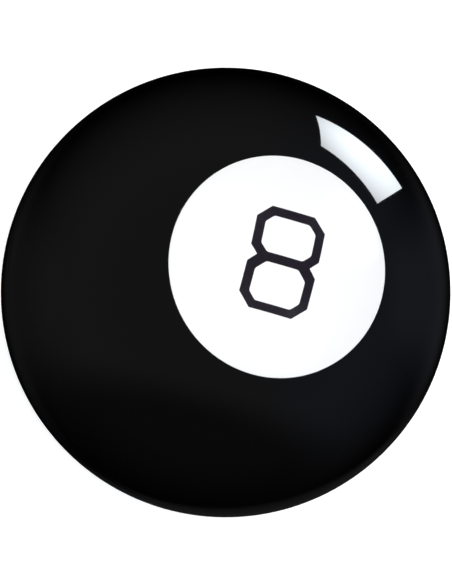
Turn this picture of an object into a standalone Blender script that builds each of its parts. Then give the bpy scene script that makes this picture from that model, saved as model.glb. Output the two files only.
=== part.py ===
"""A liquid-filled fortune-telling ball, dressed as a numbered pool ball.

Two black half shells meet at the equator. The upper one carries a white disc with a figure 8. The
lower one is cut flat round a clear window, and the ball stands on that rim. Behind the window a
reservoir of dyed liquid holds a floating twenty-sided die inside a funnel that keeps bubbles away.

The origin is the centre of the standing rim, on the floor. +Z runs up through the disc, and +Y is
the top of the figure. Turned profiles are lists of (distance from the axis, height).
"""

import math

import bmesh
import bpy
from mathutils import Matrix, Vector

MM = 0.001

# Driving dimensions.
BALL_RADIUS = 50.8 * MM
RIM_RADIUS = BALL_RADIUS / 2
SHELL_WALL = 2.5 * MM
DISC_RADIUS = 25.0 * MM
WINDOW_RADIUS = 19.2 * MM
WINDOW_THICKNESS = 2.4 * MM
RESERVOIR_BORE = 25.0 * MM
RESERVOIR_WALL = 1.5 * MM
RESERVOIR_TOP = 70.0 * MM
DIE_EDGE = 21.0 * MM
DIE_WALL = 1.2 * MM
FIT_GAP = 0.3 * MM

CENTRE_Z = math.sqrt(BALL_RADIUS**2 - RIM_RADIUS**2)
INNER_RADIUS = BALL_RADIUS - SHELL_WALL

# Facets: sides of a turned piece, and the longest step along a round stretch of its profile.
SIDES = 48
SMALL_SIDES = 24
ARC_STEP = math.radians(7.5)
WELD = 1e-7

# Step joint of the two shells at the equator.
LAP_HEIGHT = 3.0 * MM
LAP_OUTER = BALL_RADIUS - 1.4 * MM

# Lower shell: window opening, seat of the window, and socket of the reservoir.
MOUTH_RADIUS = 20.8 * MM
MOUTH_CHAMFER = 0.4 * MM
SEAT_Z = 5.0 * MM
SOCKET_RADIUS = 28.3 * MM
SOCKET_WALL = 1.7 * MM
SOCKET_TOP = 11.0 * MM
GUSSETS = 6
GUSSET_THICKNESS = 1.6 * MM
GUSSET_REACH = 36.0 * MM

# Upper shell: recess of the disc, the thicker wall behind it, and the hold-down collar.
DISC_THICKNESS = 1.8 * MM
RECESS_FLOOR = BALL_RADIUS - DISC_THICKNESS - FIT_GAP
BACKING_RADIUS = RECESS_FLOOR - 2.2 * MM
BACKING_EDGE = 27.0 * MM
COLLAR_RADIUS = 24.0 * MM
COLLAR_WALL = 1.5 * MM
COLLAR_RIBS = 6
RIB_REACH = 37.0 * MM

# Figure on the disc.
FIGURE_HALF_WIDTH = 8.0 * MM
FIGURE_HALF_HEIGHT = 11.7 * MM
FIGURE_STROKE = 2.1 * MM
FIGURE_CORNER = 3.0 * MM
FIGURE_WAIST = Vector((1.7 * MM, 1.9 * MM))
FIGURE_WAIST_CORNER = 1.3 * MM
FIGURE_DEPTH = 0.5 * MM
FIGURE_STEP = 3.0 * MM

# Window, reservoir and funnel, stacked upwards from the seat.
WINDOW_Z = SEAT_Z + FIT_GAP
WINDOW_TOP = WINDOW_Z + WINDOW_THICKNESS
WINDOW_EDGE = 25.7 * MM
WINDOW_CHAMFER = 0.4 * MM
FLANGE_Z = WINDOW_TOP + FIT_GAP
FLANGE_TOP = FLANGE_Z + 1.8 * MM
COUNTERBORE = WINDOW_EDGE + FIT_GAP
SHOULDER_Z = FLANGE_TOP + FIT_GAP
MOUTH_FLANGE_RADIUS = SOCKET_RADIUS - FIT_GAP
MOUTH_FLANGE_TOP = 10.3 * MM
MOUTH_FLANGE_FADE = 12.0 * MM
TUBE_RADIUS = RESERVOIR_BORE + RESERVOIR_WALL
FUNNEL_RADIUS = 22.0 * MM
FUNNEL_WALL = 1.2 * MM
FUNNEL_SKIRT_TOP = 40.0 * MM
FUNNEL_THROAT = 3.0 * MM
FUNNEL_THROAT_Z = 54.0 * MM
FUNNEL_NECK_TOP = 57.0 * MM

# Back cap, filler plug and its washer, stacked upwards from the reservoir's end.
CAP_Z = RESERVOIR_TOP + FIT_GAP
CAP_TOP = CAP_Z + 2.0 * MM
SPIGOT_RADIUS = RESERVOIR_BORE - FIT_GAP
SPIGOT_WALL = 2.0 * MM
SPIGOT_DEPTH = 3.0 * MM
FILLER_RADIUS = 4.3 * MM
NECK_RADIUS = 7.2 * MM
NECK_TOP = CAP_TOP + 1.7 * MM
SEAL_Z = NECK_TOP + FIT_GAP
SEAL_TOP = SEAL_Z + 1.0 * MM
PLUG_HEAD_RADIUS = 6.8 * MM
PLUG_HEAD_Z = SEAL_TOP + FIT_GAP
PLUG_HEAD_TOP = PLUG_HEAD_Z + 2.5 * MM
PLUG_CHAMFER = 0.5 * MM
PLUG_TIP_RADIUS = 3.4 * MM
PLUG_TAPER = 1.5 * MM
PLUG_TIP_Z = CAP_Z - 1.2 * MM

# Die: clearance to the window at rest, the glue line between its halves, and its flood holes.
DIE_CLEARANCE = 0.5 * MM
DIE_GLUE_LINE = 0.3 * MM
GOLDEN = (1 + math.sqrt(5)) / 2
DIE_CORNER_RADIUS = DIE_EDGE * math.sqrt(GOLDEN * math.sqrt(5)) / 2
DIE_FACE_RADIUS = DIE_EDGE * GOLDEN**2 / (2 * math.sqrt(3))
DIE_Z = WINDOW_TOP + DIE_CLEARANCE + DIE_FACE_RADIUS
FLOOD_HOLE_RADIUS = 0.9 * MM
FLOOD_HOLE_SIDES = 10

# Liquid: the level at rest leaves a bubble under the back cap.
LIQUID_TOP = RESERVOIR_TOP - 3.6 * MM


def plastic(name, colour, roughness, alpha=1.0):
    """A Principled material of one plain colour."""
    material = bpy.data.materials.new(name)
    material.use_nodes = True
    shader = material.node_tree.nodes["Principled BSDF"]
    shader.inputs["Base Color"].default_value = (*colour, 1.0)
    shader.inputs["Roughness"].default_value = roughness
    shader.inputs["Metallic"].default_value = 0.0
    shader.inputs["Alpha"].default_value = alpha
    material.diffuse_color = (*colour, alpha)
    return material


def part(name, mesh, material, parent=None, at=(0.0, 0.0, 0.0)):
    """The bmesh as a named object under a parent."""
    bmesh.ops.recalc_face_normals(mesh, faces=mesh.faces)
    data = bpy.data.meshes.new(name)
    mesh.to_mesh(data)
    mesh.free()
    data.materials.append(material)
    data.shade_smooth()
    data.set_sharp_from_angle(angle=math.radians(25))
    obj = bpy.data.objects.new(name, data)
    bpy.context.collection.objects.link(obj)
    obj.parent = parent
    obj.location = at
    return obj


def empty(name, at=(0.0, 0.0, 0.0), parent=None):
    obj = bpy.data.objects.new(name, None)
    obj.empty_display_size = 10 * MM
    bpy.context.collection.objects.link(obj)
    obj.parent = parent
    obj.location = at
    return obj


def shape_with(target, helper, operation):
    """Joins the helper to the target, or cuts it out, and leaves the helper as a hidden wire."""
    modifier = target.modifiers.new(helper.name, "BOOLEAN")
    modifier.operation = operation
    modifier.object = helper
    helper.hide_render = True
    helper.display_type = "WIRE"


def off_axis(radius, height):
    """Distance from the axis of the sphere's surface at a height over the ball's centre."""
    return math.sqrt(radius**2 - height**2)


def height_at(radius, distance):
    """Height over the floor of the sphere's upper surface at a distance from the axis."""
    return CENTRE_Z + math.sqrt(radius**2 - distance**2)


def ball_arc(radius, start, end, side):
    """Profile points on a sphere about the ball's centre, between two distances from the axis."""
    first, last = math.asin(start / radius), math.asin(end / radius)
    steps = max(1, math.ceil(abs(last - first) / ARC_STEP))
    angles = [(first * (steps - step) + last * step) / steps for step in range(steps + 1)]
    return [(radius * math.sin(a), CENTRE_Z + side * radius * math.cos(a)) for a in angles]


def turned(name, profile, material, parent, sides=SIDES):
    """A solid turned about +Z. A profile that starts and ends on the axis stays open there."""
    mesh = bmesh.new()
    points = [mesh.verts.new((distance, 0.0, height)) for distance, height in profile]
    on_axis = profile[0][0] == 0.0 and profile[-1][0] == 0.0
    ends = points[1:] if on_axis else points[1:] + points[:1]
    edges = [mesh.edges.new(pair) for pair in zip(points, ends)]
    bmesh.ops.spin(
        mesh, geom=points + edges, cent=(0, 0, 0), axis=(0, 0, 1),
        angle=2 * math.pi, steps=sides, use_merge=True,
    )
    bmesh.ops.remove_doubles(mesh, verts=mesh.verts, dist=WELD)
    return part(name, mesh, material, parent)


def upright_plates(name, outline, thickness, count, material, parent):
    """Plates round the axis, half a facet off the seams, each an outline given a thickness."""
    mesh = bmesh.new()
    for index in range(count):
        corners = [mesh.verts.new((distance, -thickness / 2, height)) for distance, height in outline]
        face = mesh.faces.new(corners)
        sweep = bmesh.ops.extrude_face_region(mesh, geom=[face], use_keep_orig=True)
        far = [item for item in sweep["geom"] if isinstance(item, bmesh.types.BMVert)]
        bmesh.ops.translate(mesh, verts=far, vec=(0.0, thickness, 0.0))
        angle = 2 * math.pi * (index / count + 0.5 / SIDES)
        bmesh.ops.rotate(mesh, verts=corners + far, matrix=Matrix.Rotation(angle, 3, "Z"))
    return part(name, mesh, material, parent)


def lower_shell(black, ball):
    socket_outer = SOCKET_RADIUS + SOCKET_WALL
    shell = turned(
        "lower_shell",
        [
            *ball_arc(BALL_RADIUS, off_axis(BALL_RADIUS, FIT_GAP / 2), RIM_RADIUS, -1),
            (MOUTH_RADIUS + MOUTH_CHAMFER, 0.0),
            (MOUTH_RADIUS, MOUTH_CHAMFER),
            (WINDOW_RADIUS, SEAT_Z),
            (SOCKET_RADIUS, SEAT_Z),
            (SOCKET_RADIUS, SOCKET_TOP),
            (socket_outer, SOCKET_TOP),
            *ball_arc(INNER_RADIUS, socket_outer, INNER_RADIUS, -1),
            (off_axis(INNER_RADIUS, LAP_HEIGHT), CENTRE_Z + LAP_HEIGHT),
            (LAP_OUTER, CENTRE_Z + LAP_HEIGHT),
            (LAP_OUTER, CENTRE_Z - FIT_GAP / 2),
        ],
        black, ball,
    )
    in_socket_wall = SOCKET_RADIUS + SOCKET_WALL / 2
    in_shell_wall = BALL_RADIUS - SHELL_WALL / 2
    gusset = [
        (in_socket_wall, SOCKET_TOP - 0.6 * MM),
        *ball_arc(in_shell_wall, in_socket_wall, GUSSET_REACH, -1),
        (GUSSET_REACH, SOCKET_TOP - 0.6 * MM),
    ]
    helper = upright_plates("gussets", gusset, GUSSET_THICKNESS, GUSSETS, black, ball)
    shape_with(shell, helper, "UNION")


def upper_shell(black, ball):
    collar_outer = COLLAR_RADIUS + COLLAR_WALL
    collar_foot = CAP_TOP + FIT_GAP
    recess_edge = DISC_RADIUS + FIT_GAP
    lap_inner = LAP_OUTER + FIT_GAP
    lap_top = LAP_HEIGHT + FIT_GAP
    shell = turned(
        "upper_shell",
        [
            *ball_arc(RECESS_FLOOR, 0.0, recess_edge, 1),
            *ball_arc(BALL_RADIUS, recess_edge, off_axis(BALL_RADIUS, FIT_GAP / 2), 1),
            (lap_inner, CENTRE_Z + FIT_GAP / 2),
            (lap_inner, CENTRE_Z + lap_top),
            *ball_arc(INNER_RADIUS, off_axis(INNER_RADIUS, lap_top), BACKING_EDGE, 1),
            (BACKING_EDGE, height_at(BACKING_RADIUS, BACKING_EDGE)),
            (collar_outer, height_at(BACKING_RADIUS, BACKING_EDGE)),
            (collar_outer, collar_foot),
            (COLLAR_RADIUS, collar_foot),
            *ball_arc(BACKING_RADIUS, COLLAR_RADIUS, 0.0, 1),
        ],
        black, ball,
    )
    in_collar = COLLAR_RADIUS + COLLAR_WALL / 2
    in_backing = (RECESS_FLOOR + BACKING_RADIUS) / 2
    in_shell_wall = BALL_RADIUS - SHELL_WALL / 2
    past_backing = BACKING_EDGE + 0.6 * MM
    rib = [
        (in_collar, collar_foot + 1.0 * MM),
        (in_collar, height_at(in_backing, in_collar)),
        (BACKING_EDGE - 0.4 * MM, height_at(in_backing, BACKING_EDGE - 0.4 * MM)),
        *ball_arc(in_shell_wall, past_backing, RIB_REACH, 1),
    ]
    helper = upright_plates("collar_ribs", rib, COLLAR_WALL, COLLAR_RIBS, black, ball)
    shape_with(shell, helper, "UNION")


def figure_loops():
    """The figure as an outer loop, anticlockwise, and its two openings, clockwise."""
    wide, high, corner = FIGURE_HALF_WIDTH, FIGURE_HALF_HEIGHT, FIGURE_CORNER
    waist = FIGURE_WAIST
    right = [
        (wide - corner, high),
        (wide, high - corner),
        (wide, waist.y),
        (wide - waist.x, 0.0),
        (wide, -waist.y),
        (wide, corner - high),
        (wide - corner, -high),
    ]
    outer = right + [(-x, -y) for x, y in right]
    inner_wide, inner_high = wide - FIGURE_STROKE, high - FIGURE_STROKE
    inner_low, inner_waist = FIGURE_STROKE / 2, FIGURE_WAIST_CORNER
    inner_corner = corner - FIGURE_STROKE * (2 - math.sqrt(2))
    side = [
        (inner_wide - inner_corner, inner_high),
        (inner_wide, inner_high - inner_corner),
        (inner_wide, inner_low + inner_waist),
        (inner_wide - inner_waist, inner_low),
    ]
    upper = side + [(-x, y) for x, y in reversed(side)]
    return outer[::-1], upper, [(-x, -y) for x, y in upper]


def grown(loop, distance):
    """The loop moved to its right-hand side, which is the outside of the stroke, corners mitred."""
    points = [Vector(point) for point in loop]
    moved = []
    for before, here, after in zip(points[-1:] + points[:-1], points, points[1:] + points[:1]):
        first, second = (here - before).normalized(), (after - here).normalized()
        normals = Vector((first.y, -first.x)), Vector((second.y, -second.x))
        spread = 1 + normals[0].dot(normals[1])
        moved.append(here + (normals[0] + normals[1]) * distance / spread)
    return moved


def stepped(loop, longest):
    """The loop with its long edges divided, so that it can follow the ball's curve."""
    points = []
    for start, end in zip(loop, loop[1:] + loop[:1]):
        steps = math.ceil((end - start).length / longest)
        points += [start.lerp(end, step / steps) for step in range(steps)]
    return points


def figure_solid(name, grow, bottom_radius, top_radius, material, ball):
    """The figure between two spheres about the ball's centre, with upright sides."""
    mesh = bmesh.new()
    edges = []
    for loop in figure_loops():
        points = [mesh.verts.new((*point, 0.0)) for point in stepped(grown(loop, grow), FIGURE_STEP)]
        edges += [mesh.edges.new(pair) for pair in zip(points, points[1:] + points[:1])]
    bmesh.ops.triangle_fill(mesh, use_beauty=True, edges=edges)
    bottom = mesh.verts[:]
    sweep = bmesh.ops.extrude_face_region(mesh, geom=mesh.faces[:], use_keep_orig=True)
    top = [item for item in sweep["geom"] if isinstance(item, bmesh.types.BMVert)]
    for points, radius in ((bottom, bottom_radius), (top, top_radius)):
        for point in points:
            point.co.z = height_at(radius, point.co.xy.length)
    return part(name, mesh, material, ball)


def number_disc(white, black, ball):
    inner = BALL_RADIUS - DISC_THICKNESS
    disc = turned(
        "number_disc",
        ball_arc(inner, 0.0, DISC_RADIUS, 1) + ball_arc(BALL_RADIUS, DISC_RADIUS, 0.0, 1),
        white, ball,
    )
    floor = BALL_RADIUS - FIGURE_DEPTH
    figure_solid("numeral", 0.0, floor, BALL_RADIUS, black, ball)
    above = BALL_RADIUS + DISC_THICKNESS
    pocket = figure_solid("numeral_pocket", FIT_GAP, floor - FIT_GAP, above, white, ball)
    shape_with(disc, pocket, "DIFFERENCE")


def window_lens(clear, ball):
    turned(
        "window_lens",
        [
            (0.0, WINDOW_Z),
            (WINDOW_EDGE - WINDOW_CHAMFER, WINDOW_Z),
            (WINDOW_EDGE, WINDOW_Z + WINDOW_CHAMFER),
            (WINDOW_EDGE, WINDOW_TOP - WINDOW_CHAMFER),
            (WINDOW_EDGE - WINDOW_CHAMFER, WINDOW_TOP),
            (0.0, WINDOW_TOP),
        ],
        clear, ball,
    )


def reservoir(cup, ball):
    turned(
        "reservoir_tube",
        [
            (MOUTH_FLANGE_RADIUS, WINDOW_Z),
            (MOUTH_FLANGE_RADIUS, MOUTH_FLANGE_TOP),
            (TUBE_RADIUS, MOUTH_FLANGE_FADE),
            (TUBE_RADIUS, RESERVOIR_TOP),
            (RESERVOIR_BORE, RESERVOIR_TOP),
            (RESERVOIR_BORE, SHOULDER_Z),
            (COUNTERBORE, SHOULDER_Z),
            (COUNTERBORE, WINDOW_Z),
        ],
        cup, ball,
    )
    turned(
        "reservoir_back_cap",
        [
            (FILLER_RADIUS, CAP_Z),
            (SPIGOT_RADIUS - SPIGOT_WALL, CAP_Z),
            (SPIGOT_RADIUS - SPIGOT_WALL, CAP_Z - SPIGOT_DEPTH),
            (SPIGOT_RADIUS, CAP_Z - SPIGOT_DEPTH),
            (SPIGOT_RADIUS, CAP_Z),
            (TUBE_RADIUS, CAP_Z),
            (TUBE_RADIUS, CAP_TOP),
            (NECK_RADIUS, CAP_TOP),
            (NECK_RADIUS, NECK_TOP),
            (FILLER_RADIUS, NECK_TOP),
        ],
        cup, ball,
    )


def cone_height(distance, offset):
    """Height of the funnel's inner cone, or of a cone parallel to it, offset towards the back."""
    slope = (FUNNEL_THROAT_Z - FUNNEL_SKIRT_TOP) / (FUNNEL_RADIUS - FUNNEL_THROAT)
    return FUNNEL_THROAT_Z - slope * (distance - FUNNEL_THROAT) + offset * math.hypot(1, slope)


def bubble_funnel(cup, ball):
    skirt_outer, throat_outer = FUNNEL_RADIUS + FUNNEL_WALL, FUNNEL_THROAT + FUNNEL_WALL
    turned(
        "bubble_funnel",
        [
            (FUNNEL_RADIUS, FLANGE_Z),
            (WINDOW_EDGE, FLANGE_Z),
            (WINDOW_EDGE, FLANGE_TOP),
            (skirt_outer, FLANGE_TOP),
            (skirt_outer, cone_height(skirt_outer, FUNNEL_WALL)),
            (throat_outer, cone_height(throat_outer, FUNNEL_WALL)),
            (throat_outer, FUNNEL_NECK_TOP),
            (FUNNEL_THROAT, FUNNEL_NECK_TOP),
            (FUNNEL_THROAT, FUNNEL_THROAT_Z),
            (FUNNEL_RADIUS, FUNNEL_SKIRT_TOP),
        ],
        cup, ball,
    )


def filler_plug(cup, rubber, ball):
    shank = FILLER_RADIUS - FIT_GAP
    turned(
        "filler_plug",
        [
            (0.0, PLUG_TIP_Z),
            (PLUG_TIP_RADIUS, PLUG_TIP_Z),
            (shank, PLUG_TIP_Z + PLUG_TAPER),
            (shank, PLUG_HEAD_Z),
            (PLUG_HEAD_RADIUS, PLUG_HEAD_Z),
            (PLUG_HEAD_RADIUS, PLUG_HEAD_TOP - PLUG_CHAMFER),
            (PLUG_HEAD_RADIUS - PLUG_CHAMFER, PLUG_HEAD_TOP),
            (0.0, PLUG_HEAD_TOP),
        ],
        cup, ball, SMALL_SIDES,
    )
    turned(
        "plug_seal",
        [
            (FILLER_RADIUS, SEAL_Z),
            (PLUG_HEAD_RADIUS, SEAL_Z),
            (PLUG_HEAD_RADIUS, SEAL_TOP),
            (FILLER_RADIUS, SEAL_TOP),
        ],
        rubber, ball, SMALL_SIDES,
    )


def icosahedron(corner_radius):
    """A twenty-sided solid about the origin, one face down, and its five-fold axis."""
    mesh = bmesh.new()
    bmesh.ops.create_icosphere(mesh, subdivisions=1, radius=corner_radius)
    lowest = min(mesh.faces, key=lambda face: (round(face.normal.z, 3), round(face.normal.x, 3)))
    corner = max((point.co.copy() for point in lowest.verts), key=lambda point: point.z)
    turn = lowest.normal.rotation_difference(Vector((0, 0, -1))).to_matrix()
    corner.rotate(turn)
    turn = Matrix.Rotation(math.pi / 2 - math.atan2(corner.y, corner.x), 3, "Z") @ turn
    return mesh, turn


def die_half(name, side, white, die):
    """Ten faces with an inner wall, parted from the other half along a zigzag of edges."""
    mesh, turn = icosahedron(DIE_CORNER_RADIUS)
    other = [face for face in mesh.faces if sum(side * point.co.z > 0 for point in face.verts) < 2]
    bmesh.ops.delete(mesh, geom=other, context="FACES")
    sweep = bmesh.ops.extrude_face_region(mesh, geom=mesh.faces[:], use_keep_orig=True)
    inner = [item for item in sweep["geom"] if isinstance(item, bmesh.types.BMVert)]
    bmesh.ops.scale(mesh, verts=inner, vec=(1 - DIE_WALL / DIE_FACE_RADIUS,) * 3)
    bmesh.ops.translate(mesh, verts=mesh.verts, vec=(0, 0, side * DIE_GLUE_LINE / 2))
    bmesh.ops.rotate(mesh, verts=mesh.verts, matrix=turn)
    return part(name, mesh, white, die)


def flood_holes(white, die):
    """One thin prism through the middle of each face of the die."""
    body, turn = icosahedron(DIE_CORNER_RADIUS)
    mesh = bmesh.new()
    for face in body.faces:
        outwards = turn @ face.normal
        facing = outwards.to_track_quat("Z", "Y").to_matrix().to_4x4()
        place = Matrix.Translation(outwards * DIE_FACE_RADIUS) @ facing
        bmesh.ops.create_cone(
            mesh, cap_ends=True, segments=FLOOD_HOLE_SIDES, radius1=FLOOD_HOLE_RADIUS,
            radius2=FLOOD_HOLE_RADIUS, depth=4 * DIE_WALL, matrix=place,
        )
    body.free()
    return part("flood_holes", mesh, white, die)


def liquid(dye, white, ball, die):
    """Everything between the window and the level, clear of the funnel, opened round the die."""
    inside, outside = -FIT_GAP, FUNNEL_WALL + FIT_GAP
    skirt_inner, skirt_outer = FUNNEL_RADIUS - FIT_GAP, FUNNEL_RADIUS + outside
    throat_inner, throat_outer = FUNNEL_THROAT - FIT_GAP, FUNNEL_THROAT + outside
    edge = RESERVOIR_BORE - FIT_GAP
    body = turned(
        "dyed_liquid",
        [
            (0.0, FLANGE_Z),
            (skirt_inner, FLANGE_Z),
            (skirt_inner, cone_height(skirt_inner, inside)),
            (throat_inner, cone_height(throat_inner, inside)),
            (throat_inner, FUNNEL_NECK_TOP + FIT_GAP),
            (throat_outer, FUNNEL_NECK_TOP + FIT_GAP),
            (throat_outer, cone_height(throat_outer, outside)),
            (skirt_outer, cone_height(skirt_outer, outside)),
            (skirt_outer, SHOULDER_Z),
            (edge, SHOULDER_Z),
            (edge, LIQUID_TOP),
            (0.0, LIQUID_TOP),
        ],
        dye, ball,
    )
    clearance = (DIE_FACE_RADIUS + DIE_CLEARANCE) / DIE_FACE_RADIUS
    mesh, turn = icosahedron(DIE_CORNER_RADIUS * clearance)
    bmesh.ops.rotate(mesh, verts=mesh.verts, matrix=turn)
    shape_with(body, part("die_space", mesh, white, die), "DIFFERENCE")


for old in list(bpy.data.objects):
    bpy.data.objects.remove(old)

BLACK = plastic("black_styrene", (0.006, 0.006, 0.008), 0.08)
INK = plastic("numeral_ink", (0.02, 0.017, 0.027), 0.3)
WHITE = plastic("white_styrene", (0.9, 0.9, 0.91), 0.15)
CLEAR = plastic("clear_acrylic", (0.95, 0.97, 1.0), 0.03, alpha=0.3)
CUP = plastic("reservoir_plastic", (0.55, 0.6, 0.68), 0.3)
RUBBER = plastic("seal_rubber", (0.02, 0.02, 0.02), 0.7)
DIE_WHITE = plastic("die_plastic", (0.85, 0.86, 0.88), 0.4)
DYE = plastic("blue_liquid", (0.01, 0.02, 0.16), 0.02, alpha=0.8)

BALL = empty("ball")
DIE = empty("die_float", (0.0, 0.0, DIE_Z), BALL)

lower_shell(BLACK, BALL)
upper_shell(BLACK, BALL)
number_disc(WHITE, INK, BALL)
window_lens(CLEAR, BALL)
reservoir(CUP, BALL)
bubble_funnel(CUP, BALL)
filler_plug(CUP, RUBBER, BALL)
liquid(DYE, WHITE, BALL, DIE)
HOLES = flood_holes(DIE_WHITE, DIE)
for NAME, SIDE in (("die_half_a", 1), ("die_half_b", -1)):
    shape_with(die_half(NAME, SIDE, DIE_WHITE, DIE), HOLES, "DIFFERENCE")
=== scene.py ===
"""Looks of the fortune-telling ball, a hollow toy dressed as a numbered pool ball.

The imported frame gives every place: +Z runs up through the number disc, +Y is the top of the figure,
and the ball stands on the flat rim of its window. Lengths are in metres.
"""

import math

import bmesh
import bpy
from mathutils import Matrix, Vector


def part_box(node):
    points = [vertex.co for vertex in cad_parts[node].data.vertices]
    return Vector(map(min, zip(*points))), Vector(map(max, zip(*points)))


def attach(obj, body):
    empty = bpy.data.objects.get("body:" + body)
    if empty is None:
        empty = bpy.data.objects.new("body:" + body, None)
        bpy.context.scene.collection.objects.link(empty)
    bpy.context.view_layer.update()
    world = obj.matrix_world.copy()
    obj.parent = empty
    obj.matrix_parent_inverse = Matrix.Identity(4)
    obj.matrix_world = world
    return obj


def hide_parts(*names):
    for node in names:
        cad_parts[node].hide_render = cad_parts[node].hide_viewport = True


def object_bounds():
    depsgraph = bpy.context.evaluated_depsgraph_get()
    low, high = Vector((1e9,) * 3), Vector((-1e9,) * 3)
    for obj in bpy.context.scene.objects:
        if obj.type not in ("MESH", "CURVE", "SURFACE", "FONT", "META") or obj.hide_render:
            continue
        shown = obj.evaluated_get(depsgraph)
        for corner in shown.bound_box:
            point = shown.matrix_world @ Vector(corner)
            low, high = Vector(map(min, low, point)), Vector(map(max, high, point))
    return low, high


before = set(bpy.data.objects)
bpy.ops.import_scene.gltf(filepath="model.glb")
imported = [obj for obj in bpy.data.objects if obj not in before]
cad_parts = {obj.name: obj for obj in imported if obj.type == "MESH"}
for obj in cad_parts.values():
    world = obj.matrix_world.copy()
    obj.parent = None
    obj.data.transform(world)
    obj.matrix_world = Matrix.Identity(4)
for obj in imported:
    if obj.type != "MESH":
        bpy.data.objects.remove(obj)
cad_low, cad_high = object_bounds()

# ---------------------------------------------------------------------------------------------------
# The half shells. Two thin black styrene mouldings meet in a step joint at the equator, where a fine
# parting line stays. The upper one takes the number disc, and the lower one is cut flat round the
# window. Both are turned shapes, with moulded ribs inside that hold the reservoir.

MM = 0.001
BALL = "ball"
BALL_RADIUS = (cad_high.x - cad_low.x) / 2
RIM_RADIUS = BALL_RADIUS / 2
CENTRE_Z = math.sqrt(BALL_RADIUS**2 - RIM_RADIUS**2)
SHELL_WALL = 2.5 * MM
INNER_RADIUS = BALL_RADIUS - SHELL_WALL
FIT_GAP = 0.3 * MM
SEAM_GAP = 0.1 * MM
HAIRLINE = 0.04 * MM
EDGE_EASE = 0.15 * MM
FINE_EASE = 0.06 * MM
SIDES = 192
ARC_STEP = math.radians(2)
SPINE = 10 * MM
WELD = 2e-6
DISC_TRIM = 0.09 * MM
DISC_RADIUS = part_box("number_disc")[1].x - DISC_TRIM
DISC_THICKNESS = 1.8 * MM
LAP_HEIGHT = 3.0 * MM
LAP_DEPTH = 1.4 * MM
LAP_OUTER = BALL_RADIUS - LAP_DEPTH
RIB_COUNT = 6
RIB_TURN = math.pi / 48
RIB_SINK = 0.6 * MM
BLACK_TINT = (0.0002, 0.0002, 0.00025, 1.0)
DUST_TINT = (0.05, 0.05, 0.055, 1.0)


class Signal:
    """A socket in a node tree. Arithmetic on it adds Math nodes."""

    def __init__(self, nodes, socket):
        self.nodes = nodes
        self.socket = socket

    def maths(self, operation, first, second):
        return self.nodes.add("ShaderNodeMath", {"operation": operation}, {0: first, 1: second})["Value"]

    def __add__(self, other):
        return self.maths("ADD", self, other)

    __radd__ = __add__

    def __sub__(self, other):
        return self.maths("SUBTRACT", self, other)

    def __rsub__(self, other):
        return self.maths("SUBTRACT", other, self)

    def __mul__(self, other):
        return self.maths("MULTIPLY", self, other)

    __rmul__ = __mul__

    def __truediv__(self, other):
        return self.maths("DIVIDE", self, other)

    def __rtruediv__(self, other):
        return self.maths("DIVIDE", other, self)

    def __abs__(self):
        return self.maths("ABSOLUTE", self, 0.0)


class Nodes:
    """A node tree, with one way to add a node to it."""

    def __init__(self, tree):
        self.tree = tree

    def add(self, kind, settings=None, sockets=None):
        """Adds a node, sets it up, wires its sockets, and gives its outputs by name."""
        node = self.tree.nodes.new(kind)
        for name, value in (settings or {}).items():
            setattr(node, name, value)
        self.wire(node, sockets or {})
        return {socket.name: Signal(self, socket) for socket in node.outputs if socket.enabled}

    def wire(self, node, sockets):
        for key, value in sockets.items():
            named = [socket for socket in node.inputs if socket.enabled and socket.name == key]
            target = named[0] if named else node.inputs[key]
            if isinstance(value, Signal):
                self.tree.links.new(value.socket, target)
            else:
                target.default_value = value

    def ramp(self, value, low, high, to_low=0.0, to_high=1.0):
        """The value's stretch from low to high, eased onto another stretch."""
        return self.add(
            "ShaderNodeMapRange", {"interpolation_type": "SMOOTHSTEP"},
            {"Value": value, "From Min": low, "From Max": high, "To Min": to_low, "To Max": to_high},
        )["Result"]

    def blend(self, share, first, second):
        """Two colours mixed by a share."""
        return self.add(
            "ShaderNodeMix", {"data_type": "RGBA"}, {"Factor": share, "A": first, "B": second}
        )["Result"]


class Finish(Nodes):
    """A material with one Principled shader, whose steady values are given by name."""

    def __init__(self, name, steady):
        self.material = bpy.data.materials.new(name)
        self.material.use_nodes = True
        super().__init__(self.material.node_tree)
        self.shader = self.tree.nodes["Principled BSDF"]
        self.wire(self.shader, steady)
        self.place = self.add("ShaderNodeTexCoord")["Object"]

    def noise(self, size, detail=2.0, stretch=(1.0, 1.0, 1.0), turn=(0.0, 0.0, 0.0)):
        """Smooth noise from 0 to 1 whose features are about this size."""
        place = self.add(
            "ShaderNodeMapping", {"vector_type": "POINT"},
            {"Vector": self.place, "Rotation": turn, "Scale": tuple(1 / size / s for s in stretch)},
        )["Vector"]
        return self.add(
            "ShaderNodeTexNoise", {}, {"Vector": place, "Scale": 1.0, "Detail": detail}
        )["Fac"]

    def bump(self, height, distance):
        """A surface raised by the height, which runs from 0 to 1, times the distance."""
        return self.add(
            "ShaderNodeBump", {}, {"Height": height, "Distance": distance, "Strength": 1.0}
        )["Normal"]

    def hairlines(self, size, turn):
        """Fine wiping scratches that run one way, as a mask."""
        streaks = self.noise(size, detail=1.0, stretch=(1.0, 160.0, 60.0), turn=turn)
        patches = self.noise(size=14 * MM, detail=1.0, turn=turn)
        return self.ramp(streaks, low=0.69, high=0.73) * self.ramp(patches, low=0.45, high=0.62)

    def specks(self, size, share):
        """Lint and dust: small dots, of which only a share of the cells has one."""
        cells = self.add(
            "ShaderNodeTexVoronoi", {"feature": "F1"}, {"Vector": self.place, "Scale": 1 / size}
        )
        soft = 0.02
        kept = self.ramp(cells["Color"], low=1 - share, high=1 - share + soft)
        return self.ramp(cells["Distance"], low=0.05, high=0.02) * kept


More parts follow.
